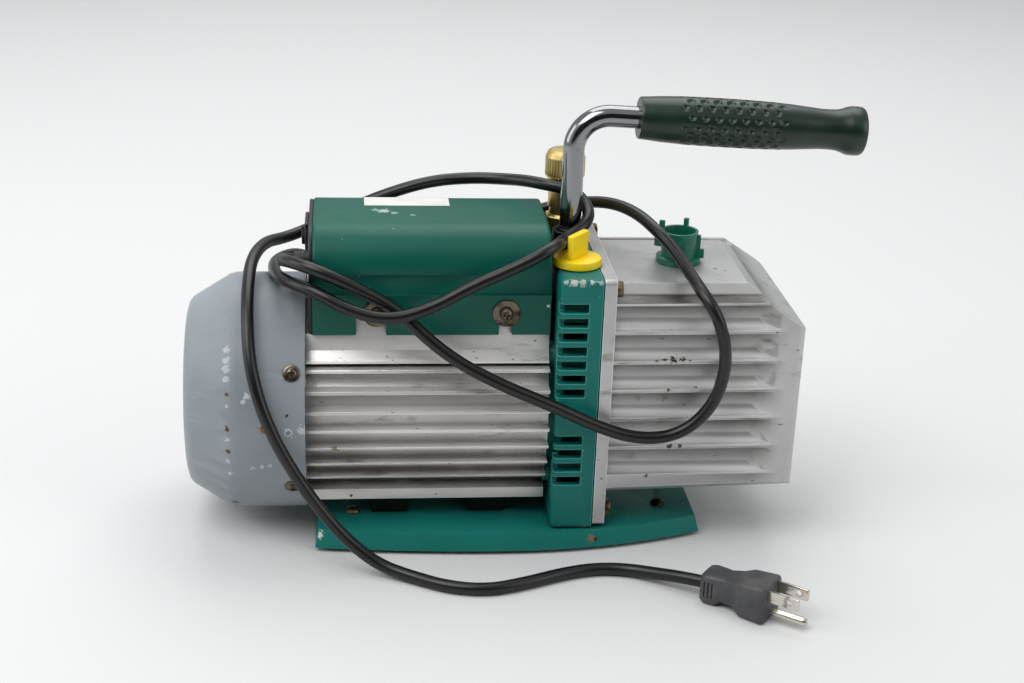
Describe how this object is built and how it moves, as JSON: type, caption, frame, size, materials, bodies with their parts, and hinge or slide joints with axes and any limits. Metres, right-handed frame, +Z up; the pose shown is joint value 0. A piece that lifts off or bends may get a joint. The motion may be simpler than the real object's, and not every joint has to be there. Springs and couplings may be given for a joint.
{
  "type": "rotary vane vacuum pump",
  "caption": "Portable rotary vane vacuum pump: finned motor with fan cover, ribbed oil case, carry handle, ballast knob, flare inlet and a loosely draped mains cord.",
  "frame": {"origin": "centre of the footprint, on the floor under the rubber feet", "axes": "+X along the shaft from the fan cover towards the oil case, +Y away from the ballast knob's side, +Z up"},
  "size_m": [0.3704, 0.2193, 0.2431],
  "materials": {
    "fan_enamel": "satin blue-grey enamel, worn",
    "motor_alloy": "dull extruded alloy with dirt in the grooves",
    "bell_enamel": "satin teal enamel, chipped",
    "base_enamel": "satin teal enamel, dusty",
    "box_enamel": "glossy green enamel, chipped",
    "case_alloy": "die-cast, oily and scuffed",
    "yellow_plastic": "moulded",
    "black_plastic": "moulded",
    "switch_plastic": "moulded",
    "green_plastic": "moulded",
    "chrome": "plated",
    "grip_rubber": "dark green, dimpled",
    "foot_rubber": "moulded",
    "cord_rubber": "satin",
    "plug_plastic": "moulded, scuffed",
    "brass": "turned, dull",
    "bronze": "sintered",
    "copper": "varnished wire",
    "zinc": "dark yellow zinc",
    "steel": "machined",
    "nickel": "plated",
    "black_steel": "blacked",
    "iron": "ground",
    "vane_resin": "resin laminate",
    "glass": "clear",
    "gasket": "fibre sheet",
    "label": "plain sticker",
    "spider_rubber": "moulded"
  },
  "bodies": {
    "pump": {"base_plate": "base_enamel", "rubber_feet": "foot_rubber", "base_screws": "zinc", "motor_frame": "motor_alloy", "stator_core": "iron", "stator_windings": "copper", "bearing_outer_races": "steel", "rear_bracket": "case_alloy", "tie_bolts": "zinc", "fan_cover": "fan_enamel", "fan_cover_screws": "zinc", "box_cover": "box_enamel", "box_end_plates": "black_plastic", "switch_bezel": "switch_plastic", "cord_gland": "black_plastic", "box_screws": "nickel", "box_washers": "nickel", "capacitor": "black_plastic", "terminal_block": "black_plastic", "blank_label": "label", "end_bell": "bell_enamel", "case_gasket": "gasket", "oil_case": "case_alloy", "case_bolts": "zinc", "sight_glass": "glass", "sight_bezel": "black_plastic", "exhaust_port": "green_plastic", "inlet_fitting": "brass", "handle_rod": "chrome", "handle_lock_nut": "black_steel", "handle_grip": "grip_rubber", "pump_back_plate": "iron", "shaft_seal": "foot_rubber", "pump_bushings": "bronze", "pump_cylinder": "iron", "pump_end_cover": "iron", "pump_bolts": "zinc", "valve_stop": "steel", "exhaust_baffle": "steel", "power_cord": "cord_rubber", "plug_body": "plug_plastic", "plug_contacts": "nickel"},
    "drive_line": {"motor_shaft": "steel", "rotor_core": "iron", "rotor_end_rings": "motor_alloy", "bearing_inner_races": "steel", "cooling_fan": "black_plastic", "coupling_hubs": "steel", "coupling_spider": "spider_rubber", "pump_rotor": "steel", "vane_springs": "steel"},
    "cages": {"bearing_cages": "steel"},
    "near_vane": {"vane_near": "vane_resin"},
    "far_vane": {"vane_far": "vane_resin"},
    "rocker": {"rocker_switch": "switch_plastic"},
    "ballast_valve": {"ballast_knob": "yellow_plastic", "ballast_stem": "brass"},
    "cap": {"inlet_cap": "brass"},
    "drain": {"drain_plug": "brass"},
    "reed": {"valve_reed": "steel"}
  },
  "joints": [
    {"name": "drive_spin", "type": "hinge", "parent": "pump", "child": "drive_line", "pos_m": [0, 0, 0.073], "axis": [1, 0, 0], "continuous": true},
    {"name": "cage_spin", "type": "hinge", "parent": "pump", "child": "cages", "pos_m": [0, 0, 0.073], "axis": [1, 0, 0], "continuous": true},
    {"name": "near_vane_slide", "type": "slide", "parent": "drive_line", "child": "near_vane", "axis": [0, -1, 0], "range_m": [0, 0.0036]},
    {"name": "far_vane_slide", "type": "slide", "parent": "drive_line", "child": "far_vane", "axis": [0, 1, 0], "range_m": [0, 0.0036]},
    {"name": "rocker_tilt", "type": "hinge", "parent": "pump", "child": "rocker", "pos_m": [-0.1165, -0.008, 0.169], "axis": [0, 0, 1], "range_deg": [0, 18]},
    {"name": "ballast_turn", "type": "hinge", "parent": "pump", "child": "ballast_valve", "pos_m": [0.0257, -0.0315, 0.16], "axis": [0, 0, 1], "range_deg": [0, 50]},
    {"name": "cap_lift", "type": "slide", "parent": "pump", "child": "cap", "axis": [0, 0, 1], "range_m": [0, 0.012]},
    {"name": "drain_draw", "type": "slide", "parent": "pump", "child": "drain", "axis": [1, 0, 0], "range_m": [0, 0.01]},
    {"name": "reed_lift", "type": "hinge", "parent": "pump", "child": "reed", "pos_m": [0.067, 0.005, 0.10325], "axis": [-1, 0, 0], "range_deg": [0, 10], "stiffness_Nm_per_rad": 0.05}
  ],
  "couplings": [
    {"joint": "cage_spin", "follows": "drive_spin", "ratio": 0.426}
  ]
}
